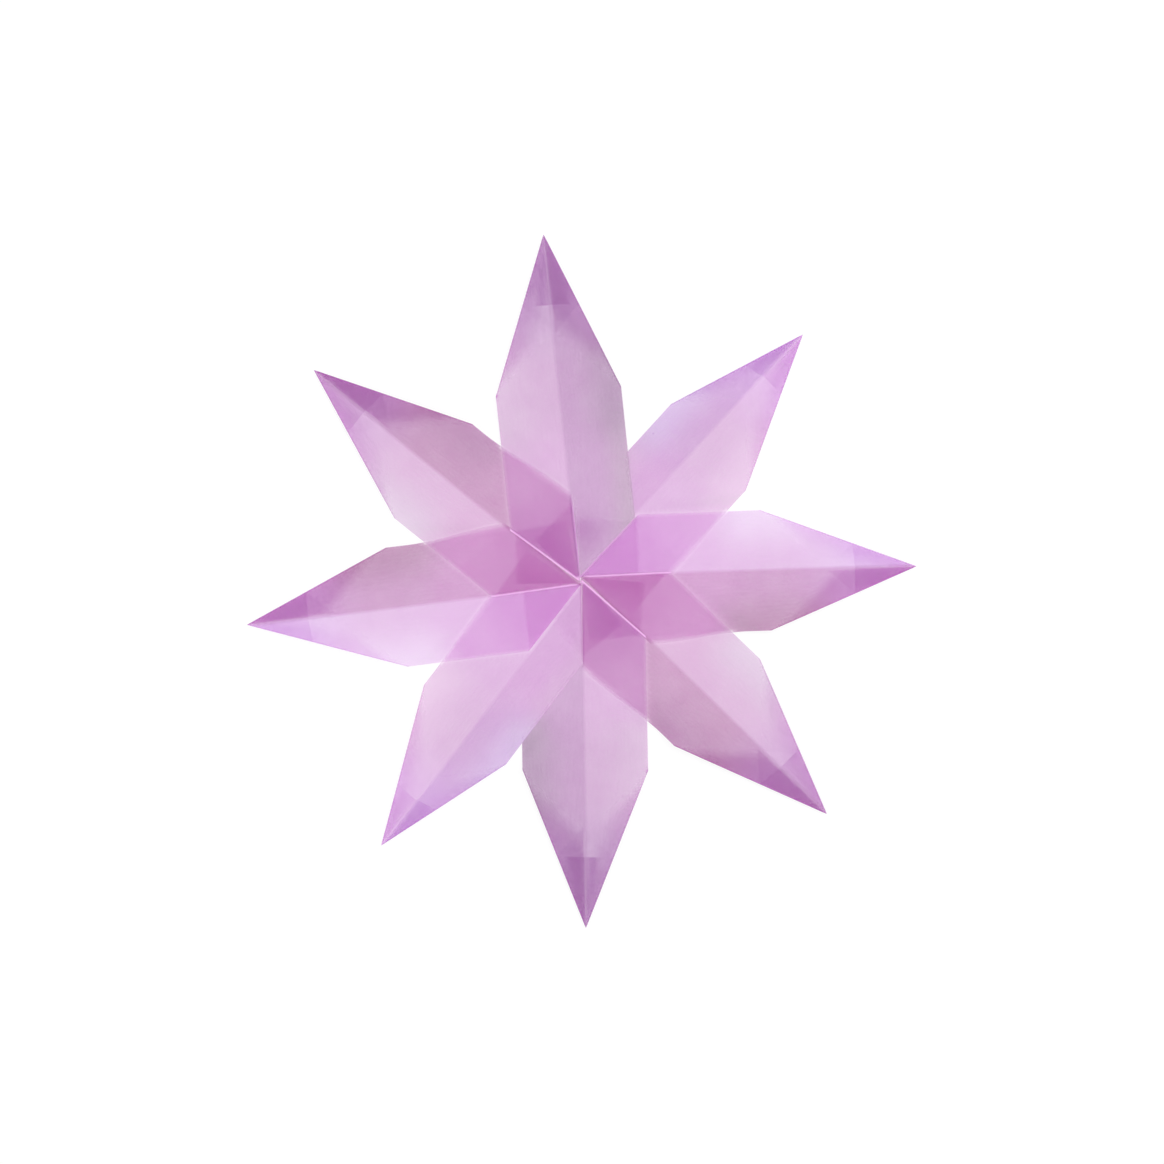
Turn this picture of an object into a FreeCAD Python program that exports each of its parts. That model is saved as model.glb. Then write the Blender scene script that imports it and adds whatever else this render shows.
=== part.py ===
"""Window star: eight points, each folded from one strip of kite paper, overlapped and glued.

Millimetres, +Z up. The star lies flat, smooth side up and flaps underneath, with the top point
towards +Y. The origin is under the middle of its outline.
"""
import FreeCAD, Part
import math
import os
from collections import namedtuple

V = FreeCAD.Vector

# Paper
PAPER = 0.05  # thickness of a sheet
LAYER = 0.07  # from one folded layer to the next
BEND = 0.1  # width of the pressed bend along a fold

# Strips: the usual sizes, from which each one strays a little, as it is cut and folded by hand
LENGTH = 150.0  # from the centre of the star to the tip
HALF_WIDTH = 27.0  # from the crease to a side edge

# The four strips of half a star, in the order they are glued. Each has a long centre crease, with
# the tip at its end, and a left and a right side, seen with the tip pointing away. direction is
# where the crease points, in degrees from +X. aside is how far it runs to the left of the
# star's centre. tip_width is from the crease to each cut corner at the tip end. A slope is the
# angle in degrees between the crease and the folded edge that runs to the tip, and inner_fold
# the angle between the crease and the folded edge at the centre of the star.
Strip = namedtuple("Strip", "direction aside length tip_width left right")
Edge = namedtuple("Edge", "width slope inner_fold")
FIRST = Strip(
    47.4, 1.2, LENGTH - 3.7, HALF_WIDTH - 0.8,
    Edge(HALF_WIDTH - 5.0, 19.5, 37.5), Edge(HALF_WIDTH + 1.0, 22.4, 45.0))
SECOND = Strip(
    1.9, 1.3, LENGTH - 1.6, HALF_WIDTH + 1.5,
    Edge(HALF_WIDTH, 21.6, 45.0), Edge(HALF_WIDTH - 0.8, 21.9, 45.0))
THIRD = Strip(
    -44.2, 1.9, LENGTH - 0.2, HALF_WIDTH + 3.2,
    Edge(HALF_WIDTH + 1.4, 22.4, 47.0), Edge(HALF_WIDTH - 1.6, 20.1, 45.0))
FOURTH = Strip(
    -89.1, 0.0, LENGTH + 3.4, HALF_WIDTH + 4.6,
    Edge(HALF_WIDTH + 1.5, 22.4, 47.7), Edge(HALF_WIDTH - 0.1, 20.9, 45.4))
HALF_STAR = (FIRST, SECOND, THIRD, FOURTH)

# Layout: each half star is glued up by itself, then the second, turned, is glued over the first
TURN = 185.2  # degrees from the first half to the second
LOWER_HALF = ("point_upper_right", "point_right", "point_lower_right", "point_bottom")
UPPER_HALF = ("point_lower_left", "point_left", "point_upper_left", "point_top")
CLOSING_LAP = 1.5  # width of the lap where the two halves close

# Folds
SHY = 0.4  # degrees by which the corner of a tip stops short of the crease it is folded to
FLAP_GAP = 0.35  # from the centre crease to the free edge of a flap laid beside it
SHOULDER_LIFT = 2.4  # rise of the shoulders above the centre crease, in a shallow valley
LIFT_START = 4.0  # from the edge of the neighbouring strip to where the sides begin to rise
FLAP_DROP = 0.8  # how far the loose corner of a tip flap springs away underneath

SMALLEST = Part.Precision.confusion()  # a length below this is nothing

# A flat convex piece of one side of a folded strip, in the plane of that side: x runs along the
# crease from the centre of the star, y away from the crease. top and bottom count the layers
# from the front sheet. fold is the line it was last turned over, which it opens from by slope.
Piece = namedtuple("Piece", "outline top bottom fold slope")
# A line in that plane: one of its points and the unit normal to the side called past it.
Line = namedtuple("Line", "point normal")
# One side of a strip, with the point beside it. start is where its inner fold meets the crease. A
# reach is how far a side's cut edge lies from the centre of the star, and next_reach that of the
# side of the next point that faces this one. next_angle is the angle in degrees between the two
# centre creases.
Side = namedtuple("Side", "length tip_width width slope inner_fold start reach next_reach next_angle")


def line_from_crease(x, normal_angle):
    """The line through a point of the centre crease whose normal makes this angle with it."""
    turn = math.radians(normal_angle)
    return Line(V(x, 0, 0), V(math.cos(turn), math.sin(turn), 0))


def line_through(start, end):
    """The line through two points, with past it on the right hand."""
    along = (end - start).normalize()
    return Line(start, V(along.y, -along.x, 0))


def moved(line, distance):
    return Line(line.point + line.normal * distance, line.normal)


def past(line, point):
    """How far a point lies past a line."""
    return (point - line.point).dot(line.normal)


def trimmed(outline, line, side):
    """The part of a convex outline that is past a line (side 1) or before it (side -1)."""
    kept = []
    for here, there in zip(outline, outline[1:] + outline[:1]):
        a, b = side * past(line, here), side * past(line, there)
        if a > -SMALLEST:
            kept.append(here)
        if min(a, b) < -SMALLEST and max(a, b) > SMALLEST:
            kept.append(here + (there - here) * (a / (a - b)))
    return kept if any(side * past(line, point) > SMALLEST for point in kept) else []


def folded(pieces, fold, slope=0.0):
    """Folds what lies past a line behind the rest, which reverses the order of its layers.

    Each sheet that crosses the line stays joined to its turned part by a bend along it.
    """
    beyond = [trimmed(piece.outline, fold, 1) for piece in pieces]
    last = 1 + 2 * max(piece.bottom for piece, outline in zip(pieces, beyond) if outline)
    result = []
    for piece, outline in zip(pieces, beyond):
        kept = trimmed(piece.outline, fold, -1)
        if kept:
            result.append(piece._replace(outline=kept))
        if outline:
            turned = [point - fold.normal * (2 * past(fold, point)) for point in outline]
            result.append(Piece(turned, last - piece.bottom, last - piece.top, fold, slope))
        if kept and outline and piece.top == piece.bottom:
            bend = trimmed(kept, moved(fold, -BEND), 1)
            result.append(Piece(bend, piece.top, last - piece.top, fold, 0.0))
    return result


def shoulder(side):
    return V(side.length - side.width / math.tan(math.radians(side.slope)), side.width, 0)


def folded_side(side):
    """The pieces of one side of a strip, after its inner corner and its tip are folded."""
    edge = shoulder(side)
    tip, tip_corner = V(side.length, 0, 0), V(side.length, side.tip_width, 0)
    start, start_corner = V(side.start, 0, 0), V(side.start, side.width, 0)
    below_edge = V(edge.x, 0, 0)
    unfolded = line_from_crease(0, 0)
    pieces = [
        Piece([start, below_edge, edge, start_corner], 0, 0, unfolded, 0.0),
        Piece([below_edge, tip, tip_corner, edge], 0, 0, unfolded, 0.0),
    ]
    pieces = folded(pieces, line_from_crease(side.start, 90 + side.inner_fold))
    pieces = folded(pieces, line_from_crease(side.length, 90 - (2 * side.slope - SHY)))
    corner_to_fold = side.width / (2 * math.cos(math.radians(side.slope)))
    opening = FLAP_DROP / corner_to_fold
    pieces = folded(pieces, line_from_crease(side.length, 90 - side.slope), opening)
    beside_crease = Line(V(0, FLAP_GAP, 0), V(0, 1, 0))
    cut_back = [
        piece._replace(outline=trimmed(piece.outline, beside_crease, 1)) if piece.top == 1 else piece
        for piece in pieces
    ]
    return [piece for piece in cut_back if piece.outline]


def valley(side):
    """The lines where a side leaves the plane of the glued centre, and where it is fully raised.

    The first runs beside the edge of the next strip, so that the two lie flat on each other.
    """
    angle = math.radians(side.next_angle)
    crossing = (side.next_reach + side.reach * math.cos(angle)) / math.sin(angle)
    edge_start = V(crossing + LIFT_START, side.width, 0)
    crease_start = V(edge_start.x - side.width / math.tan(angle), 0, 0)
    return line_through(crease_start, edge_start), line_through(crease_start, shoulder(side))


def prisms(piece, side, hand):
    """The solid parts of one piece, one for each plane of the valley that it lies in."""
    flat_end, raised_from = valley(side)
    gusset_slope = SHOULDER_LIFT / past(flat_end, shoulder(side))
    rising = trimmed(piece.outline, flat_end, 1)
    planes = (
        (trimmed(piece.outline, flat_end, -1), lambda point: 0.0),
        (trimmed(rising, raised_from, -1), lambda point: gusset_slope * past(flat_end, point)),
        (trimmed(rising, raised_from, 1), lambda point: SHOULDER_LIFT * point.y / side.width),
    )
    thickness = (piece.bottom - piece.top) * LAYER + PAPER
    solids = []
    for outline, height in planes:
        if not outline:
            continue
        corners = []
        for point in outline:
            drop = piece.top * LAYER + piece.slope * abs(past(piece.fold, point))
            corners.append(V(point.x, hand * point.y, height(point) - drop))
        face = Part.Face(Part.makePolygon(corners + corners[:1]))
        solids.append(face.extrude(V(0, 0, -thickness)))
    return solids


def point_solid(left, right):
    """One folded point along +X, with the top of its front sheet at z = 0 on the crease."""
    solids = []
    for side, hand in ((left, 1), (right, -1)):
        for piece in folded_side(side):
            solids += prisms(piece, side, hand)
    return solids[0].multiFuse(solids[1:]).removeSplitter()


def placed(shape, strip, turn, height=0.0):
    shape.translate(V(0, strip.aside, 0))
    shape.rotate(V(0, 0, 0), V(0, 0, 1), strip.direction + turn)
    shape.translate(V(0, 0, height))
    return shape


def lapped(point, side, hand, strip, turn):
    """A point cut back to a lap where it lies under one side of another, and past its crease.

    What is left of a flap whose fold is cut off goes too.
    """
    reach = side.width - CLOSING_LAP
    fold = math.radians(side.inner_fold)
    start = CLOSING_LAP / math.sin(fold)
    corner = start + reach / math.tan(fold)
    outline = [(start, 0), (corner, reach), (side.length, reach), (side.length, -reach), (corner, -reach)]
    box = point.BoundBox
    corners = [V(x, hand * y, box.ZMin - PAPER) for x, y in outline]
    cover = Part.Face(Part.makePolygon(corners + corners[:1])).extrude(V(0, 0, box.ZLength + 2 * PAPER))
    remains = point.cut(placed(cover, strip, turn))
    return max(remains.Solids, key=lambda solid: solid.Volume)


def star():
    """The eight points by name, clockwise in the order they are glued."""
    names = LOWER_HALF + UPPER_HALF
    strips = HALF_STAR + HALF_STAR
    turns = [0.0] * len(LOWER_HALF) + [TURN] * len(UPPER_HALF)
    directions = [strip.direction + turn for strip, turn in zip(strips, turns)]
    sides = []
    for place, strip in enumerate(strips):
        before, after = place - 1, (place + 1) % len(strips)
        from_before = (directions[before] - directions[place]) % 360
        to_after = (directions[place] - directions[after]) % 360
        facing_left = strips[before].right.width - strips[before].aside
        facing_right = strips[after].left.width + strips[after].aside
        left_reach, right_reach = strip.left.width + strip.aside, strip.right.width - strip.aside
        paper = (strip.length, strip.tip_width)
        # The right inner fold runs through the centre of the star, which closes it.
        right_start = -strip.aside / math.tan(math.radians(strip.right.inner_fold))
        left = Side(*paper, *strip.left, 0.0, left_reach, facing_left, from_before)
        right = Side(*paper, *strip.right, right_start, right_reach, facing_right, to_after)
        sides.append((left, right))
    points = []
    for place, (left, right) in enumerate(sides):
        height = place * (LAYER + PAPER)
        points.append(placed(point_solid(left, right), strips[place], turns[place], height))
    # Where the halves close, the lower sheet is cut back under the upper one.
    points[0] = lapped(points[0], sides[-1][1], -1, strips[-1], turns[-1])
    over = len(LOWER_HALF)
    points[over - 1] = lapped(points[over - 1], sides[over][0], 1, strips[over], turns[over])
    return dict(zip(names, points))


def main():
    points = star()
    box = Part.makeCompound(list(points.values())).BoundBox
    to_origin = V(-box.Center.x, -box.Center.y, -box.ZMin)
    os.makedirs("parts", exist_ok=True)
    for name, shape in points.items():
        shape.translate(to_origin)
        solid = shape.Solids[0]
        print(name, len(shape.Solids), shape.isValid(), round(solid.Volume, 2), len(solid.Faces))
        solid.exportStep(os.path.join("parts", name + ".step"))


main()
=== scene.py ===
"""Window star of folded kite paper, lying on a white table and seen from straight above.

Each point is one strip of paper: a flat sheet is cut, folded along its creases with real bends, and
given its thickness. The layers show through one another.
"""
import math
from collections import namedtuple

import bmesh
import bpy
from mathutils import Matrix, Vector, noise


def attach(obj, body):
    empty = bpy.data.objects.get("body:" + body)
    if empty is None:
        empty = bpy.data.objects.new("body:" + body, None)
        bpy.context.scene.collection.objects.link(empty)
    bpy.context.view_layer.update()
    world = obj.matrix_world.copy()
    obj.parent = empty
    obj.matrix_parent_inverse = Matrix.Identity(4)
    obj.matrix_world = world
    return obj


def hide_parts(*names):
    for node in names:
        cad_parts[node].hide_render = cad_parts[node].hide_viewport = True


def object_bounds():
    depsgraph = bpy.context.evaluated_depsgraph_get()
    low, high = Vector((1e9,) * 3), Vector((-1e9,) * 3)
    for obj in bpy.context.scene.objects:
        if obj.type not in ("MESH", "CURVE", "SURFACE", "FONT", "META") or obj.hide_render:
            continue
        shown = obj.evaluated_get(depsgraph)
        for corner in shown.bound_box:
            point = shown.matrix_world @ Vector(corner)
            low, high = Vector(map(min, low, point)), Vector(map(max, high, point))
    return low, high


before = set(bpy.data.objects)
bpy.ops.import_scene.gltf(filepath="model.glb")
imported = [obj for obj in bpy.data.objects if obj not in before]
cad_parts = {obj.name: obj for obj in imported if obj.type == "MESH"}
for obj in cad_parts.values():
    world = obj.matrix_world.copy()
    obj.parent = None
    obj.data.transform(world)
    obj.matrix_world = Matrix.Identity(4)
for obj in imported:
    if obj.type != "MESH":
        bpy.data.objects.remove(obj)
cad_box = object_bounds()

MM = 0.001

# Sizes of the model, in millimetres and degrees, most of them as in the part's own source
SHEET = 0.04  # thickness of the paper, thinned a little so that glued faces stay apart
LAYER = 0.07  # from one folded layer to the next
GLUED_STEP = 0.12  # from one glued strip to the next
TURN = 185.2  # from the first half of the star to the second
SHY = 0.4  # degrees by which the corner of a tip stops short of the crease it is folded to
FLAP_GAP = 0.02  # from the crease to a flap's free edge, narrower than in the source
LIFT = 2.4  # rise of the shoulders above the crease, in a shallow valley
LIFT_START = 4.0  # from the edge of the neighbouring strip to where the sides begin to rise
HOLLOW = 0.14  # share of that rise that the paper keeps back near the crease
RIPPLE = 0.35  # height of the paper's unevenness at its edge
RIPPLE_SIZE = (26, 17)  # length of its waves along and across a strip
FLAP_DROP = 0.8  # how far the loose corner of a tip flap springs away underneath
FLAP_CURL = 0.012  # how much steeper it springs away with each millimetre
CLOSING_LAP = 1.5  # width of the lap where the two halves close
LAP_FADE = 0.2  # over which a closing lap fades out of sight
LAP_SEEN = 0.05  # share of its opacity that it keeps
SEAM_REACH = 80.0  # from the star's centre, within which the closing laps lie
BOW_ENDS = (30, 74)  # along a strip, where the bow of its cut edge starts to end and is gone
NODES = (
    "point_upper_right", "point_right", "point_lower_right", "point_bottom",
    "point_lower_left", "point_left", "point_upper_left", "point_top",
)

CELL = 1.6  # size of the mesh's cells
RIM = 1.6  # millimetres of paper in a narrow row along each cut edge
BEND_STEPS = 3  # facets round a bend
TOUCH = 1e-6  # a distance below this is nothing

# One side of a strip: its width, the slope of its folded edge to the tip, the angle of its inner
# fold and how far from the star's centre that starts on the crease, and how far its cut edge bows
# out where the next point hides it, then its looks. A strip's crease runs a little aside of the
# star's centre.
Side = namedtuple("Side", "width slope inner_fold fold_start bow look flaps")
Strip = namedtuple("Strip", "direction aside length tip_width left right")

# The colour of one layer on white, in sRGB from 0 to 255: where the layers meet near the star's centre, at
# the crease and at the side edge across from the shoulder, and towards the tip. These colours hold painted
# light and shade over the paper's own colour: each side and each point is lighter or darker as the light
# falls on it.
Look = namedtuple("Look", "heart shoulder edge tip")

# How opaque each flap behind the front sheet looks, and over how many millimetres its free edge blurs: the
# corner folded in at the star's centre, beside the crease and beside its fold, the corner of the tip, its
# wedge beside the crease, which ends between two angles from it, and the turned side, which fades over
# turned_reach millimetres from the folded edge. Where that reach is long, as on most right sides, the
# turned side's band is partly painted shadow of that flap, which springs away behind the front sheet.
Flaps = namedtuple("Flaps", "inner inner_blur corner wedge wedge_ends turned turned_blur turned_reach")

# The colours of each side hold painted light and shade, and the long turned reaches of most right sides
# hold painted shadow
HALF_STAR = (
    Strip(47.4, 1.2, 146.3, 25.2,
          Side(22.0, 19.5, 37.5, 0.0, 0.0,
               Look((219, 178, 220), (213, 176, 217), (217, 192, 227), (215, 178, 224)),
               Flaps((0.10, 0.10), 4.0, 0.20, 0.24, (13, 19), 0.20, 5.0, 5.0)),
          Side(28.0, 22.4, 45.0, -1.2, 1.3,
               Look((224, 189, 225), (222, 190, 222), (232, 206, 231), (227, 195, 231)),
               Flaps((0.04, 0.02), 5.0, 0.12, 0.17, (13, 19), 0.20, 5.0, 6.0))),
    Strip(1.9, 1.3, 148.4, 27.1,
          Side(27.0, 21.6, 45.0, -0.4, 0.0,
               Look((228, 193, 230), (228, 197, 230), (237, 217, 241), (230, 203, 236)),
               Flaps((0.22, 0.22), 0.6, 0.08, 0.16, (18, 24), 0.18, 5.0, 6.0)),
          Side(26.2, 21.9, 48.0, -1.2, 4.2,
               Look((215, 169, 211), (212, 170, 208), (198, 157, 190), (213, 169, 214)),
               Flaps((0.31, 0.28), 2.5, 0.30, 0.29, (18, 24), 0.38, 6.5, 40.0))),
    Strip(-44.2, 1.9, 149.8, 28.8,
          Side(28.4, 22.4, 47.0, -0.8, 0.0,
               Look((223, 187, 220), (223, 190, 221), (226, 207, 227), (218, 184, 220)),
               Flaps((0.14, 0.28), 1.5, 0.18, 0.24, (18, 24), 0.22, 5.0, 6.0)),
          Side(25.4, 20.1, 48.0, -1.7, 3.9,
               Look((209, 165, 202), (206, 164, 199), (195, 151, 189), (203, 160, 204)),
               Flaps((0.33, 0.24), 2.0, 0.32, 0.25, (18, 24), 0.44, 6.5, 40.0))),
    Strip(-89.1, 0.0, 153.4, 31.2,
          Side(28.5, 22.4, 47.7, -0.8, 0.0,
               Look((222, 187, 222), (216, 183, 216), (220, 193, 220), (208, 176, 211)),
               Flaps((0.14, 0.28), 1.5, 0.20, 0.40, (9, 14), 0.29, 5.5, 8.0)),
          Side(26.9, 20.9, 49.0, 1.0, 0.0,
               Look((210, 174, 211), (205, 168, 206), (191, 163, 192), (200, 163, 203)),
               Flaps((0.12, 0.08), 1.5, 0.24, 0.35, (12, 17), 0.36, 9.0, 40.0))),
)

# How the front sheets and their flaps look. What differs between the two sides of a strip gives
# the left side first, and what differs between the four strips has four entries. "Where" means
# two places along a strip, in millimetres from the star's centre, between which something changes.
# the painted light and shade of a side blends between its colours over these places
TO_SHOULDER = (52, 80)  # where the colour at the star's centre turns to that of the shoulders
TO_TIP = (88, 122)  # where that turns to the tip's
EDGE_STARTS = (52, 74)  # where the edge's colour comes in
EDGE_ENDS = (94, 120)  # and goes out
EDGE_ACROSS = (0.15, 0.95)  # share of a side's width over which it takes over
PRESSED = 0.84  # how opaque a sheet stays where its neighbour is glued to it
PRESSED_TINT = (1.08, 1.0, 1.07)  # and how much more of each colour it gives back: painted light that makes up for the shade of the sheets over it
PRESSED_BLUR = 1.5  # millimetres to each side of the neighbour's edge over which that starts
THINNED = ((0.11, 0.13), (0.11, 0.06), (0.09, 0.08), (0.11, 0.0))  # how much clearer it is further out
THINNED_FROM = (28, 45)  # where it starts to be clearer, and is in full
HIDDEN_EDGE = (0.6, 0.8)  # how much of a glued sheet's cut edge is hidden
HIDDEN_WIDTH = (1.6, 2.6)  # millimetres over which it comes back
CRISPER = 1.6  # by how many millimetres that is less at a right edge further out
CRISPER_FROM = (40, 66)  # where it gets less
RIGHT_FADES = ((-0.4, 0.2), (0.1, 0.7), (-0.4, 0.2), ())  # millimetres past the next crease where they fade
CLOSING_FADE = (0.0, 0.3)  # the same for a left side where the ring closes
SEAM_TINTS = ((0.99, 1.05, 0.98), (0.94, 1.05, 0.92))  # greyer colour along the ring's closing edges
SEAM_ACROSS = (0.45, 0.95)  # share of a side's width over which it gets greyer
SEAM_ENDS = (50, 80)  # where that goes out
DARK_SPOT = 0.2  # how much more opaque a right side is at a dark spot near the star's centre, where the ring closes
DARK_SPOT_PLACE = (21, 3)  # where the dark spot is, along the strip and out from its crease
DARK_SPOT_SIZE = 8  # millimetres
SPECKED_STRIP = 3  # the strip with a dark speck at its left shoulder
SPECK = 0.3  # how much more opaque that is, over about 1 mm

FLAP_TINT = (1.05, 1.0, 1.08)  # how much more of each colour a flap gives back than its sheet: painted light that makes up for the shade of the sheet in front of it
INNER_TINT = (1.03, 1.0, 0.94)  # and the same for the flap at the star's centre
INNER_SPAN = (0.1, 0.8)  # share of an inner flap's angle over which its opacity changes
CORNER_BLUR = 10.0  # millimetres over which the rest of a tip's corner fades in
CREASE_CLEAR = (0.4, 3)  # how much clearer a left wedge is at the crease, and over how many millimetres
TURNED_UNDER = 0.3  # share of the turned side's opacity that its own second layer adds

HIGHLIGHT_WIDTHS = (0.35, 0.9, 0.3)  # half widths of the painted highlights, light lines at the crease, inner fold and cut edges
CREASE_HIGHLIGHTS = (0.0, 0.0, 0.0, 0.25)  # strength of the painted highlight along the crease
CREASE_HIGHLIGHT_ENDS = (28, 40)  # where that goes out
FOLD_HIGHLIGHTS = ((0.0, 0.0), (0.12, 0.0), (0.75, 0.0), (0.8, 0.35))  # and along the inner folds
EDGE_HIGHLIGHTS = 0.1  # and along the cut edges
BEND_WIDTH = 0.7  # millimetres of the darker line along a folded edge
BEND_DARKER = 0.16  # how much more opaque it is
FAR = 99.0  # stands for no such line near

# What lies behind one layer of paper, and the least green that the pigment gives back
BEHIND = 0.97
PIGMENT_GREEN = 0.07
OPACITIES = (0.2, 0.95)  # the least and most of a layer


def linear(value):
    """One sRGB channel, 0 to 255, as linear light."""
    value /= 255
    return value / 12.92 if value <= 0.04045 else ((value + 0.055) / 1.055) ** 2.4


def smooth(start, end, value):
    """A smooth step from 0 at start to 1 at end."""
    t = min(max((value - start) / (end - start), 0.0), 1.0)
    return t * t * (3 - 2 * t)


def opacity_and_tint(apparent):
    """The opacity and pigment of a layer that has this colour, in linear light, over white."""
    opacity = (BEHIND - apparent[1]) / (BEHIND - PIGMENT_GREEN)
    opacity = min(max(opacity, OPACITIES[0]), OPACITIES[1])
    tint = [(value - (1 - opacity) * BEHIND) / opacity for value in apparent]
    return opacity, [min(max(value, 0.0), 1.0) for value in tint]


# ---------------------------------------------------------------- the shape of a folded strip

# A line across one side of a strip, by a point on it and its unit normal
Line = namedtuple("Line", "point normal")


def line_from_crease(x, normal_angle):
    turn = math.radians(normal_angle)
    return Line(Vector((x, 0, 0)), Vector((math.cos(turn), math.sin(turn), 0)))


def past(line, point):
    return (point - line.point).dot(line.normal)


def mirrored(vector, line):
    return vector - line.normal * (2 * vector.dot(line.normal))


# How one side of a strip meets the next point: how far its own cut edge is from the star's centre,
# then of the side of the next point that faces it how far the cut edge is from the star's centre
# and from its crease, and how far it bows out, the angle between the two creases, and whether the
# two sides lie on each other.
Beside = namedtuple("Beside", "reach next_reach next_width next_bow next_angle layered")


def reach(strip, hand):
    """How far a strip's cut edge is from the star's centre."""
    return strip.left.width + strip.aside if hand > 0 else strip.right.width - strip.aside


class StripMesh:
    """The paper of one point, being folded. x runs along the crease from the star's centre."""

    def __init__(self, strip):
        self.bm = bmesh.new()
        self.flat_x = self.bm.verts.layers.float.new("flat_x")
        self.flat_y = self.bm.verts.layers.float.new("flat_y")
        self.depth = self.bm.faces.layers.int.new("depth")
        self.strip = strip
        columns = round(strip.length / CELL)
        xs = [strip.length * i / columns for i in range(columns + 1)]
        start = strip.right.fold_start
        if start < 0:
            xs.insert(0, start)
        ys = []
        for width, hand in ((strip.right.width, -1), (strip.left.width, 1)):
            rows = round(width / CELL)
            ys += [hand * width * i / rows for i in range(rows + 1)] + [hand * (width - RIM)]
        ys = sorted(set(ys))
        grid = [[self.bm.verts.new((x, self.flared(x, y), 0)) for y in ys] for x in xs]
        for vert in self.bm.verts:
            vert[self.flat_x], vert[self.flat_y] = vert.co.x, vert.co.y
        for a, b in zip(grid, grid[1:]):
            for i in range(len(ys) - 1):
                if a[i].co.x >= 0 or ys[i] < 0:  # the left side starts at x = 0
                    self.bm.faces.new((a[i], b[i], b[i + 1], a[i + 1]))
        unused = [v for v in self.bm.verts if not v.link_faces]
        bmesh.ops.delete(self.bm, geom=unused, context="VERTS")

    def side(self, hand):
        return self.strip.left if hand > 0 else self.strip.right

    def edge_at(self, x, hand):
        """How far the paper reaches from its crease: a little further at its end, and where it bows."""
        side = self.side(hand)
        shoulder = self.strip.length - side.width / math.tan(math.radians(side.slope))
        share = max(x - shoulder, 0) / (self.strip.length - shoulder)
        bow = side.bow * (1 - smooth(*BOW_ENDS, x))
        return side.width + (self.strip.tip_width - side.width) * share + bow

    def flared(self, x, y):
        hand = 1 if y > 0 else -1
        return y * self.edge_at(x, hand) / self.side(hand).width

    def faces_of(self, hand):
        return [f for f in self.bm.faces if sum(v[self.flat_y] for v in f.verts) * hand > 0]

    def split(self, faces, hand, line, distance=0.0):
        """Cuts these faces, without parting them, along a line moved outwards."""
        point = line.point + line.normal * distance
        normal = Vector((line.normal.x, hand * line.normal.y, 0))
        geom = list({e for f in faces for e in f.edges}) + list({v for f in faces for v in f.verts})
        bmesh.ops.bisect_plane(
            self.bm, geom=geom + faces, dist=TOUCH,
            plane_co=Vector((point.x, hand * point.y, 0)), plane_no=normal)

    def centre(self, face, hand):
        c = face.calc_center_median()
        return Vector((c.x, hand * c.y, c.z))

    def cut_away(self, hand, inside):
        """Deletes the faces of one side whose centres are inside."""
        gone = [f for f in self.faces_of(hand) if inside(f, self.centre(f, hand))]
        bmesh.ops.delete(self.bm, geom=gone, context="FACES")

    def fold(self, hand, line, radius, slope, turned_depth):
        """Turns what is past a line behind the rest, round a bend of this radius."""
        half_turn = math.pi * radius
        for step in range(BEND_STEPS + 1):
            self.split(self.faces_of(hand), hand, line, half_turn * step / BEND_STEPS)
        faces = self.faces_of(hand)
        beyond = [f for f in faces if past(line, self.centre(f, hand)) > 0]
        for face in beyond:
            face[self.depth] = turned_depth[face[self.depth]]
        for vert in {v for f in beyond for v in f.verts}:
            here = Vector((vert.co.x, hand * vert.co.y, 0))
            distance = past(line, here)
            if distance <= 0:
                continue
            turn = min(distance / radius, math.pi)
            arm = radius + vert.co.z
            rest = max(distance - half_turn, 0.0)
            across = arm * math.sin(turn) - rest
            here += line.normal * (across - distance)
            height = arm * math.cos(turn) - radius - slope * rest * (1 + FLAP_CURL * rest)
            vert.co = (here.x, hand * here.y, height)


def hidden_past_crease(strip, hand, beside):
    """How far past the next point's crease a side starts to fade from sight, and is gone, if it does."""
    if beside.layered:
        return RIGHT_FADES[HALF_STAR.index(strip)] if hand < 0 else ()
    return CLOSING_FADE if hand > 0 else ()


def crease_beside(side, beside, past_it):
    """A line on a folded side that runs this far past the crease of the next point."""
    angle = math.radians(beside.next_angle)
    normal = Vector((-math.sin(angle), math.cos(angle), 0))
    offset = beside.next_reach - beside.next_width + (beside.reach - side.width) * math.cos(angle)
    return Line(normal * (past_it - offset), normal)


def valley_lines(strip, side, beside):
    """Where a side starts to rise from the glued plane, and where it is fully raised."""
    angle = math.radians(beside.next_angle)
    crossing = (beside.next_reach + beside.reach * math.cos(angle)) / math.sin(angle)
    edge_start = Vector((crossing + LIFT_START, side.width, 0))
    apex = Vector((edge_start.x - side.width / math.tan(angle), 0, 0))
    shoulder = Vector((strip.length - side.width / math.tan(math.radians(side.slope)), side.width, 0))
    return apex, edge_start, shoulder


def lift(point, side, lines, seed):
    """How far a point of a folded side is raised: a cone from the end of the glued plane."""
    apex, edge_start, shoulder = lines
    bearing = math.atan2(point.y, point.x - apex.x)
    start = math.atan2(side.width, edge_start.x - apex.x)
    full = math.atan2(side.width, shoulder.x - apex.x)
    raised = smooth(start, full, bearing) if point.x > apex.x else 0.0
    across = point.y / side.width
    ripple = noise.noise(Vector((point.x / RIPPLE_SIZE[0], point.y / RIPPLE_SIZE[1], seed)))
    return raised * (LIFT * across * (1 - HOLLOW + HOLLOW * across) + RIPPLE * across * ripple)


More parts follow.
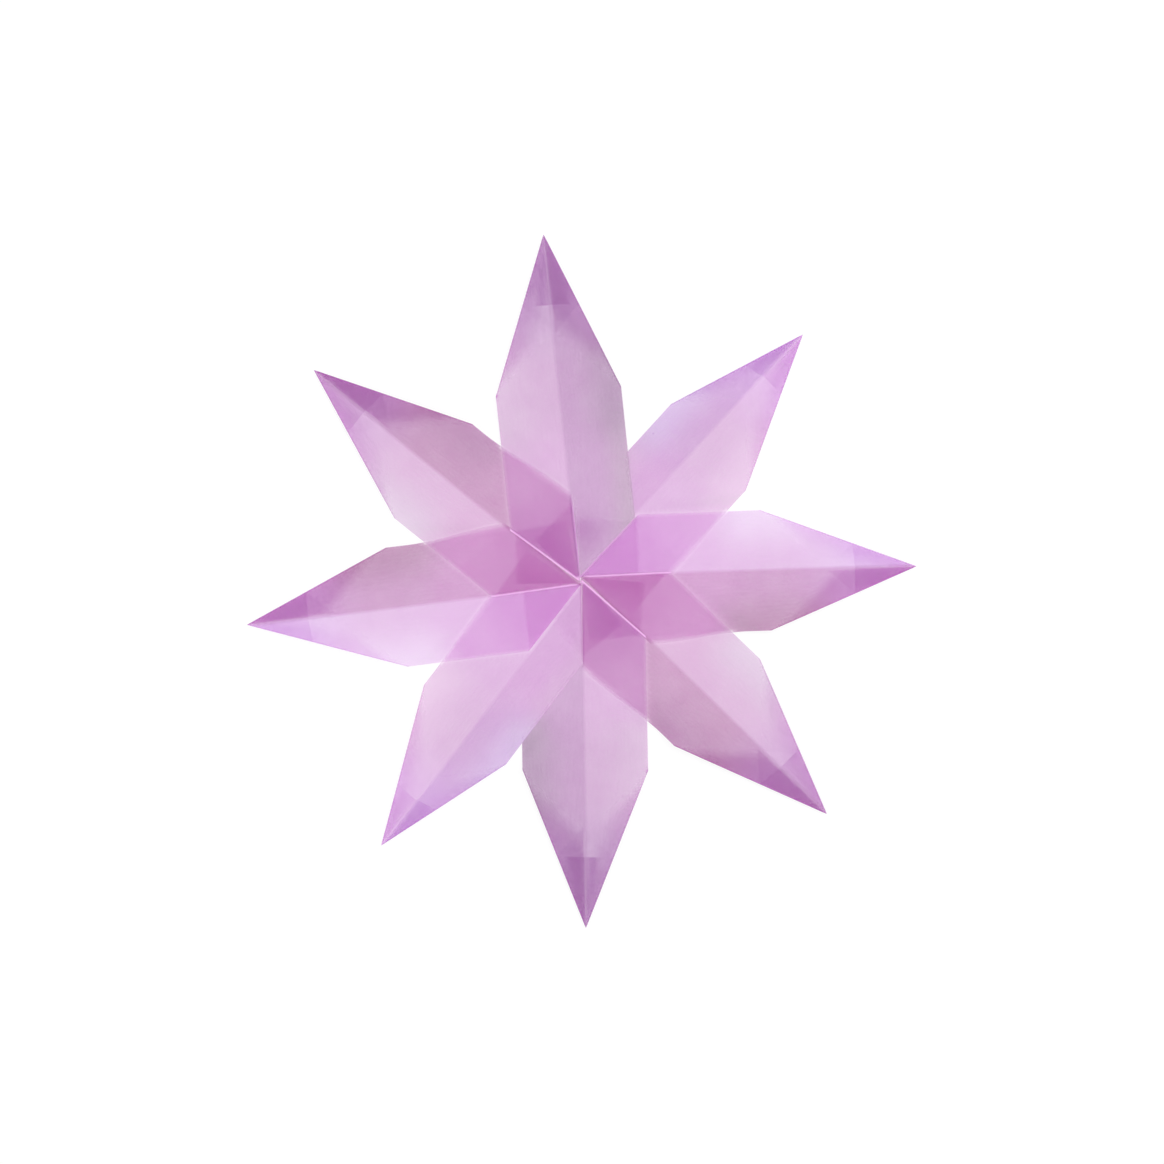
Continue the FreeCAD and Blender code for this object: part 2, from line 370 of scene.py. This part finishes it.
def fold_side(mesh, strip, side, hand, beside, seed):
    """Folds one side of a flat strip: its inner corner, then its tip twice, then the valley."""
    inner = line_from_crease(side.fold_start, 90 + side.inner_fold)
    first = line_from_crease(strip.length, 90 - (2 * side.slope - SHY))
    second = line_from_crease(strip.length, 90 - side.slope)
    beside_crease = Line(Vector((0, FLAP_GAP, 0)), Vector((0, -1, 0)))
    thin = LAYER / 2
    corner_to_fold = side.width / (2 * math.cos(math.radians(side.slope)))

    # the free edges of the two flaps beside the crease are cut back before they are folded
    for line in (inner, first):
        offset = Line(line.point + line.normal * (math.pi * thin / 2), line.normal)
        gap = Line(beside_crease.point - offset.normal * (2 * past(offset, beside_crease.point)),
                   mirrored(beside_crease.normal, offset))
        mesh.split(mesh.faces_of(hand), hand, line)
        flap = [f for f in mesh.faces_of(hand) if past(line, mesh.centre(f, hand)) > 0]
        mesh.split(flap, hand, gap)
        mesh.cut_away(hand, lambda f, c, fold=line, edge=gap: past(fold, c) > 0 and past(edge, c) > 0)

    mesh.fold(hand, inner, thin, 0.0, {0: 1})
    mesh.fold(hand, first, thin, 0.0, {0: 1, 1: 1})
    mesh.fold(hand, second, 3 * thin, FLAP_DROP / corner_to_fold, {0: 3, 1: 2})

    for past_it in hidden_past_crease(strip, hand, beside):
        near = [f for f in mesh.faces_of(hand) if f.calc_center_median().x < strip.length / 2]
        mesh.split(near, hand, crease_beside(side, beside, past_it))

    lines = valley_lines(strip, side, beside)
    for vert in {v for f in mesh.faces_of(hand) for v in f.verts}:
        if vert[mesh.flat_y] * hand > 0:
            point = Vector((vert.co.x, hand * vert.co.y, 0))
            vert.co.z += lift(point, side, lines, seed)


# ---------------------------------------------------------------- the look of the paper


def mixed(a, b, share):
    return [p + (q - p) * share for p, q in zip(a, b)]


def one_layer(side, x, y):
    """The linear colour of a single layer on white, with its painted light and shade, at a place of the
    folded front sheet.
    """
    look = side.look
    colour = mixed(look.heart, look.shoulder, smooth(*TO_SHOULDER, x))
    colour = mixed(colour, look.tip, smooth(*TO_TIP, x))
    across = smooth(*EDGE_ACROSS, y / side.width)
    beside = across * smooth(*EDGE_STARTS, x) * (1 - smooth(*EDGE_ENDS, x))
    return [linear(channel) for channel in mixed(colour, look.edge, beside)]


def into_neighbour(x, y, side, beside):
    """How far a place lies inside the next point's side edge, in millimetres."""
    angle = math.radians(beside.next_angle)
    out = y + beside.reach - side.width
    bow = beside.next_bow * (1 - smooth(0, side.width, y))
    return beside.next_reach + bow - x * math.sin(angle) + out * math.cos(angle)


def from_folded_edge(strip, side, x, y):
    """How far a place lies inside the folded edge of the tip, in millimetres."""
    slope = math.radians(side.slope)
    return max((strip.length - x) * math.sin(slope) - y * math.cos(slope), 0)


def flap_opacity(mesh, side, x, y, depth, rim):
    """How opaque a flap looks from the front, at a place behind the front sheet."""
    flaps = side.flaps
    if x < mesh.strip.length / 2:
        beside_crease, beside_fold = flaps.inner
        turned_by = math.degrees(math.atan2(y, max(x, 0.1))) / side.inner_fold
        seen = beside_crease + (beside_fold - beside_crease) * smooth(*INNER_SPAN, turned_by)
        return seen * smooth(0, flaps.inner_blur, rim)
    bearing = math.degrees(math.atan2(y, max(mesh.strip.length - x, 0.1)))
    if depth == 1:
        corner = flaps.corner * smooth(0, CORNER_BLUR, rim)
        seen = flaps.wedge + (corner - flaps.wedge) * smooth(*flaps.wedge_ends, bearing)
        clear, width = CREASE_CLEAR
        return seen * (1 - clear + clear * smooth(0, width, y)) if side is mesh.strip.left else seen
    # the turned side as a layer; where its reach is long, as on most right sides, its band is partly
    # painted shadow of that flap
    from_edge = from_folded_edge(mesh.strip, side, x, y)
    seen = flaps.turned * math.exp(-((from_edge / flaps.turned_reach) ** 2))
    if depth == 2:
        return TURNED_UNDER * seen
    return seen * smooth(0, flaps.turned_blur, rim)


def front_sheet(strip, hand, beside, x, y, rim, pressed):
    """The opacity and pigment of the front sheet, at a place of its folded shape."""
    side = strip.left if hand > 0 else strip.right
    k = 0 if hand > 0 else 1
    seen = one_layer(side, x, y)
    if not beside.layered:
        greyer = smooth(*SEAM_ACROSS, y / side.width) * (1 - smooth(*SEAM_ENDS, x))
        seen = [c * (1 + (gain - 1) * greyer) for c, gain in zip(seen, SEAM_TINTS[k])]
    layer, colour = opacity_and_tint(seen)
    layer *= 1 + (PRESSED - 1) * pressed
    # painted light where a neighbour is glued to the sheet, making up for the shade of the sheets over it
    colour = [c * (1 + (gain - 1) * pressed) for c, gain in zip(colour, PRESSED_TINT)]
    crisper = CRISPER * smooth(*CRISPER_FROM, x) if hand < 0 else 0
    layer *= 1 - HIDDEN_EDGE[k] * pressed * (1 - smooth(0, HIDDEN_WIDTH[k] - crisper, rim))
    layer *= 1 - THINNED[HALF_STAR.index(strip)][k] * pressed * smooth(*THINNED_FROM, x)
    if hand < 0 and not beside.layered:
        along, out = (x - DARK_SPOT_PLACE[0]) / DARK_SPOT_SIZE, (y - DARK_SPOT_PLACE[1]) / DARK_SPOT_SIZE
        layer *= 1 + DARK_SPOT * math.exp(-(along ** 2) - out ** 2)
    return layer, colour


def paint(mesh, neighbours, seed):
    """Gives each vertex its opacity and tint, the strengths of its painted highlights, and the distances
    that the material draws by.
    """
    bm = mesh.bm
    opacity = bm.verts.layers.float.new("opacity")
    tint = bm.verts.layers.float_vector.new("tint")
    lines = bm.verts.layers.float_vector.new("lines")
    painted_highlight = bm.verts.layers.float_vector.new("painted_highlight")
    sheet = bm.verts.layers.float_vector.new("sheet")
    from_bend = bm.verts.layers.float.new("from_bend")
    which = HALF_STAR.index(mesh.strip)
    shoulder = valley_lines(mesh.strip, mesh.strip.left, neighbours[1])[2]
    middle = mesh.strip.length / 2
    for vert in bm.verts:
        hand = 1 if vert[mesh.flat_y] > 0 else -1
        side, beside = mesh.side(hand), neighbours[hand]
        depth = min(face[mesh.depth] for face in vert.link_faces)
        x, y = vert.co.x, max(hand * vert.co.y, 0)
        flat_x, flat_y = vert[mesh.flat_x], abs(vert[mesh.flat_y])
        rim = mesh.edge_at(flat_x, hand) - flat_y
        pressed = 0
        if beside.layered and x < middle:
            pressed = smooth(-PRESSED_BLUR, PRESSED_BLUR, into_neighbour(x, y, side, beside))
        layer, colour = front_sheet(mesh.strip, hand, beside, x, y, rim, pressed)
        if depth > 0:
            layer = flap_opacity(mesh, side, x, y, depth, rim)
            # painted light on a flap, making up for the shade of the sheet in front of it
            colour = [c * gain for c, gain in zip(colour, FLAP_TINT if x > middle else INNER_TINT)]
        elif which == SPECKED_STRIP and hand > 0:
            layer += SPECK * math.exp(-((Vector((x, y, 0)) - shoulder).length_squared))
        fade = hidden_past_crease(mesh.strip, hand, beside)
        if fade and x < middle:
            line = crease_beside(side, beside, 0.0)
            layer *= 1 - smooth(*fade, past(line, Vector((x, y, 0))))

        fold = math.radians(side.inner_fold)
        from_fold = abs(math.cos(fold) * flat_y - math.sin(fold) * (flat_x - side.fold_start))
        vert[opacity] = layer
        vert[tint] = colour
        vert[lines] = (flat_y, from_fold, rim)
        vert[sheet] = (flat_x, vert[mesh.flat_y], seed)
        vert[from_bend] = FAR
        vert[painted_highlight] = (0.0, 0.0, 0.0)
        if depth == 0:
            vert[from_bend] = from_folded_edge(mesh.strip, side, x, y)
            # painted highlights along the crease, the inner fold and the cut edges
            vert[painted_highlight] = (
                CREASE_HIGHLIGHTS[which] * (1 - smooth(*CREASE_HIGHLIGHT_ENDS, x)),
                FOLD_HIGHLIGHTS[which][0 if hand > 0 else 1],
                EDGE_HIGHLIGHTS * (1 - pressed if hand < 0 else 1))


class Nodes:
    """The nodes of a new material."""

    def __init__(self, name):
        self.material = bpy.data.materials.new(name)
        self.material.use_nodes = True
        self.tree = self.material.node_tree
        self.tree.nodes.clear()

    def new(self, kind, inputs, **settings):
        """A node with these settings, and with these values or sockets at its inputs."""
        node = self.tree.nodes.new("ShaderNode" + kind)
        for name, value in settings.items():
            setattr(node, name, value)
        for key, value in inputs.items():
            if isinstance(value, bpy.types.NodeSocket):
                self.tree.links.new(value, node.inputs[key])
            else:
                node.inputs[key].default_value = value
        return node

    def attribute(self, name, output):
        return self.new("Attribute", {}, attribute_name=name).outputs[output]

    def maths(self, operation, *values):
        return self.new("Math", dict(enumerate(values)), operation=operation).outputs[0]

    def total(self, parts, weights):
        """The sum of these sockets, each times its weight."""
        scaled = [self.maths("MULTIPLY", part, weight) for part, weight in zip(parts, weights)]
        result = scaled[0]
        for part in scaled[1:]:
            result = self.maths("ADD", result, part)
        return result

    def falling(self, value, start, end, strength=1.0):
        """Falls smoothly from this strength, where the value is at start, to nothing at end."""
        inputs = {"Value": value, "From Min": start, "From Max": end, "To Min": strength, "To Max": 0.0}
        return self.new("MapRange", inputs, interpolation_type="SMOOTHSTEP").outputs[0]

    def mix(self, share, first, second):
        return self.new("MixShader", {0: share, 1: first.outputs[0], 2: second.outputs[0]})

    def finished(self, shader):
        self.new("OutputMaterial", {"Surface": shader.outputs[0]})
        return self.material


# The paper's pulp is uneven: soft clouds, a fine grain and long fibres along the sheet
CLOUD_SIZE, GRAIN_SIZE, FIBRE_SIZE = 12, 0.8, 1
FIBRE_TURN = 0.3  # radians that the fibres lie off the crease
FIBRE_SCALE = (0.1, 1.4, 1)  # finer across the sheet than along it
PULP = (0.16, 0.12, 0.08)  # how much the clouds, the grain and the fibres change the opacity
RELIEF = (1.2, 0.15, 0.2)  # and the height of the surface
RELIEF_HEIGHT = 0.0002  # metres
ROUGHNESS = 0.5  # varied by the grain
SPECK_CELL = 24  # millimetres of a cell that may hold a speck
SPECKLESS = 0.75  # share of the cells without one
SPECK_RADII = (0.012, 0.04)  # of the dark part and the whole of a speck, as shares of a cell
SPECK_DARKER = 0.3  # how much more opaque a speck is
HIGHLIGHT_REACH = (0.3, 1.3)  # of a painted highlight line: its full part and its whole, in its half widths
HIGHLIGHT_COLOUR = (1.0, 0.66, 1.0, 1)  # its colour
TRANSLUCENT = 0.3  # share of the light that a sheet scatters through to its other face


def paper_material():
    """Kite paper: waxy, thin and tinted, so that each layer dims and colours what is behind it."""
    nodes = Nodes("kite_paper")
    sheet = nodes.attribute("sheet", "Vector")

    def clouds(size, detail, place):
        """Cloudy noise about zero, with patches of this many millimetres."""
        node = nodes.new("TexNoise", {"Scale": 1 / size, "Detail": detail, "Vector": place})
        return nodes.maths("SUBTRACT", node.outputs["Fac"], 0.5)

    fibre_way = nodes.new(
        "Mapping", {"Vector": sheet, "Rotation": (0, 0, FIBRE_TURN), "Scale": FIBRE_SCALE})
    cloud, grain = clouds(CLOUD_SIZE, 3, sheet), clouds(GRAIN_SIZE, 3, sheet)
    unevenness = (cloud, grain, clouds(FIBRE_SIZE, 2, fibre_way.outputs[0]))
    pulp = nodes.maths("ADD", nodes.total(unevenness, PULP), 1.0)

    # a few small specks
    cells = nodes.new("TexVoronoi", {"Scale": 1 / SPECK_CELL, "Vector": sheet})
    cell_value = nodes.new("SeparateXYZ", {0: cells.outputs["Color"]}).outputs[0]
    chosen = nodes.maths("GREATER_THAN", cell_value, SPECKLESS)
    spot = nodes.falling(cells.outputs["Distance"], *SPECK_RADII, SPECK_DARKER)
    speck = nodes.maths("MULTIPLY", spot, chosen)

    # the bend along the folded edges is seen edge on, and looks darker
    bend = nodes.falling(nodes.attribute("from_bend", "Fac"), 0.0, BEND_WIDTH, BEND_DARKER)
    uneven = nodes.maths("MULTIPLY", nodes.attribute("opacity", "Fac"), pulp)
    uneven = nodes.maths("ADD", nodes.maths("ADD", uneven, speck), bend)

    # painted highlights: fine light lines along the crease, the inner fold and the cut edges
    distances = nodes.new("SeparateXYZ", {0: nodes.attribute("lines", "Vector")})
    highlight_strengths = nodes.new("SeparateXYZ", {0: nodes.attribute("painted_highlight", "Vector")})
    line = 0.0
    for k, half_width in enumerate(HIGHLIGHT_WIDTHS):
        start, end = (share * half_width for share in HIGHLIGHT_REACH)
        near = nodes.falling(distances.outputs[k], start, end)
        line = nodes.maths("MAXIMUM", line, nodes.maths("MULTIPLY", near, highlight_strengths.outputs[k]))
    thicker = nodes.new("MapRange", {"Value": line, "To Min": uneven, "To Max": OPACITIES[1]})
    opacity = thicker.outputs[0]
    lightened = nodes.new("Mix", {
        "Factor": nodes.maths("DIVIDE", line, opacity),
        "A": nodes.attribute("tint", "Color"),
        "B": HIGHLIGHT_COLOUR,
    }, data_type="RGBA")
    tint = lightened.outputs["Result"]

    # each sheet has two faces, so each takes the root of what the sheet lets through
    face_clear = nodes.maths("SQRT", nodes.maths("SUBTRACT", 1.0, opacity))
    height = nodes.total(unevenness, RELIEF)
    relief = nodes.new("Bump", {"Distance": RELIEF_HEIGHT, "Height": height})
    paper = nodes.new("BsdfPrincipled", {
        "Base Color": tint,
        "Roughness": nodes.maths("ADD", grain, ROUGHNESS),
        "Normal": relief.outputs[0],
    })
    through = nodes.new("BsdfTranslucent", {"Color": tint})
    solid = nodes.mix(TRANSLUCENT, paper, through)
    return nodes.finished(nodes.mix(face_clear, solid, nodes.new("BsdfTransparent", {})))


def solid_object(name, bm, material):
    """The folded sheet with its thickness, as an object in metres."""
    bm.normal_update()
    for vert in bm.verts:
        vert.co *= MM
    data = bpy.data.meshes.new(name)
    bm.to_mesh(data)
    bm.free()
    data.materials.append(material)
    obj = bpy.data.objects.new(name, data)
    bpy.context.scene.collection.objects.link(obj)
    solid = obj.modifiers.new("thickness", "SOLIDIFY")
    solid.thickness = SHEET * MM
    solid.offset = 0.0
    return obj


def placing(strip, turn, height):
    """Where a strip goes: its crease a little aside of the centre, turned to its direction."""
    turned = Matrix.Rotation(math.radians(strip.direction + turn), 4, "Z")
    return Matrix.Translation((0, 0, height)) @ turned @ Matrix.Translation((0, strip.aside, 0))


def cut_under(mesh, to_cover, side):
    """Cuts back a strip where one side of another covers it, and past its crease, but for a lap.

    to_cover takes the strip to the frame of the covering one. The lap fades out under it.
    """
    bm = mesh.bm
    bm.transform(to_cover)
    fold = math.radians(side.inner_fold)
    fade_start = -LAP_FADE / 3
    edges = []
    for hand in (1, -1):
        edges.append(Line(Vector((0, hand * side.width, 0)), Vector((0, hand, 0))))
        edges.append(Line(Vector((side.fold_start, 0, 0)),
                          Vector((-math.sin(fold), hand * math.cos(fold), 0))))
    for line in edges:
        for inset in (fade_start, LAP_FADE, CLOSING_LAP):
            near = [f for f in bm.faces if f.calc_center_median().xy.length < SEAM_REACH]
            geom = list({v for f in near for v in f.verts} | {e for f in near for e in f.edges})
            bmesh.ops.bisect_plane(
                bm, geom=geom + near, dist=TOUCH,
                plane_co=line.point - line.normal * inset, plane_no=line.normal)

    def covered(place):
        return -max(past(line, place) for line in edges)

    gone = [f for f in bm.faces if covered(f.calc_center_median()) > CLOSING_LAP]
    bmesh.ops.delete(bm, geom=gone, context="FACES")
    opacity = bm.verts.layers.float["opacity"]
    for vert in bm.verts:
        vert[opacity] *= 1 - (1 - LAP_SEEN) * smooth(fade_start, LAP_FADE, covered(vert.co))
    bm.transform(to_cover.inverted())


# How far apart in the noise the ripples of two strips are, those of a strip's two sides, and the
# textures of two strips
NEXT_RIPPLE, OTHER_RIPPLE, NEXT_SHEET = 3.1, 50, 40.0


def build_points():
    """The eight points as folded sheets, in star coordinates, in the order of their nodes."""
    strips = HALF_STAR + HALF_STAR
    count = len(strips)
    turns = [0.0] * len(HALF_STAR) + [TURN] * len(HALF_STAR)
    directions = [strip.direction + turn for strip, turn in zip(strips, turns)]
    placings = [placing(*each, place * GLUED_STEP) for place, each in enumerate(zip(strips, turns))]
    meshes = []
    for i, strip in enumerate(strips):
        before, after = i - 1, (i + 1) % count
        from_before = (directions[before] - directions[i]) % 360
        to_after = (directions[i] - directions[after]) % 360
        left = Beside(reach(strip, 1), reach(strips[before], -1), strips[before].right.width,
                      strips[before].right.bow, from_before, i % len(HALF_STAR) != 0)
        right = Beside(reach(strip, -1), reach(strips[after], 1), strips[after].left.width,
                       strips[after].left.bow, to_after, after % len(HALF_STAR) != 0)
        mesh = StripMesh(strip)
        fold_side(mesh, strip, strip.left, 1, left, NEXT_RIPPLE * i)
        fold_side(mesh, strip, strip.right, -1, right, NEXT_RIPPLE * i + OTHER_RIPPLE)
        paint(mesh, {1: left, -1: right}, NEXT_SHEET * i)
        meshes.append(mesh)
    over = len(HALF_STAR)
    for under, cover, side in ((0, count - 1, strips[-1].right), (over - 1, over, strips[over].left)):
        cut_under(meshes[under], placings[cover].inverted() @ placings[under], side)
    for mesh, place in zip(meshes, placings):
        mesh.bm.transform(place)
    return meshes


def make_star():
    material = paper_material()
    meshes = build_points()
    corners = [vert.co for mesh in meshes for vert in mesh.bm.verts]
    low = Vector(min(c[k] for c in corners) for k in range(3))
    high = Vector(max(c[k] for c in corners) for k in range(3))
    cad_low, cad_high = Vector(cad_box[0]) / MM, Vector(cad_box[1]) / MM
    shift = (cad_low + cad_high - low - high) / 2
    shift.z = cad_low.z + SHEET / 2 - low.z
    for name, mesh in zip(NODES, meshes):
        for vert in mesh.bm.verts:
            vert.co += shift
        obj = solid_object(name.replace("point", "folded"), mesh.bm, material)
        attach(obj, "root")
        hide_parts(name)


# ---------------------------------------------------------------- table, light and camera, in metres

VIEW_WIDTH = 0.5144  # of the picture at the star, in metres
CAMERA_PLACE = (0.0001, -0.0003, 1.5)
SENSOR = 36.0  # millimetres
TABLE_SIZE = 6
TABLE_DROP = 0.0001  # how far the table's face lies under the star's lowest
TABLE_COLOUR = (0.9, 0.9, 0.9, 1)
SEEN_WHITE = 0.85  # share of plain white in what the camera sees of the table
WORLD_STRENGTH = 0.68
LAMPS = (  # name, place, size and watts
    ("key", (0.5, 0.5, 1.2), 0.9, 11.2),
    ("fill", (-0.7, -0.4, 1.0), 1.0, 5.0),
)
SEEN_LAYERS = 48  # faces of clear paper that a ray may pass


def make_table():
    bpy.ops.mesh.primitive_plane_add(size=TABLE_SIZE, location=(0, 0, -TABLE_DROP))
    table = bpy.context.object
    table.name = "table"
    nodes = Nodes("white_table")
    matt = nodes.new("BsdfDiffuse", {"Color": TABLE_COLOUR})
    by_camera = nodes.new("LightPath", {}).outputs["Is Camera Ray"]
    share = nodes.maths("MULTIPLY", by_camera, SEEN_WHITE)
    table.data.materials.append(nodes.finished(nodes.mix(share, matt, nodes.new("Emission", {}))))


def make_light():
    world = bpy.data.worlds.new("studio")
    bpy.context.scene.world = world
    world.use_nodes = True
    background = world.node_tree.nodes["Background"]
    background.inputs["Color"].default_value = (1, 1, 1, 1)
    background.inputs["Strength"].default_value = WORLD_STRENGTH
    for name, place, size, power in LAMPS:
        lamp = bpy.data.lights.new(name, "AREA")
        lamp.size = size
        lamp.energy = power
        obj = bpy.data.objects.new(name, lamp)
        obj.location = place
        obj.rotation_euler = (-Vector(place)).to_track_quat("-Z", "Y").to_euler()
        bpy.context.scene.collection.objects.link(obj)


def make_camera():
    camera = bpy.data.cameras.new("camera")
    camera.sensor_width = SENSOR
    camera.lens = camera.sensor_width * CAMERA_PLACE[2] / VIEW_WIDTH
    obj = bpy.data.objects.new("camera", camera)
    obj.location = CAMERA_PLACE
    bpy.context.scene.collection.objects.link(obj)
    bpy.context.scene.camera = obj


make_camera()
make_light()
make_table()
make_star()

scene = bpy.context.scene
scene.view_settings.view_transform = "Standard"
scene.cycles.transparent_max_bounces = SEEN_LAYERS
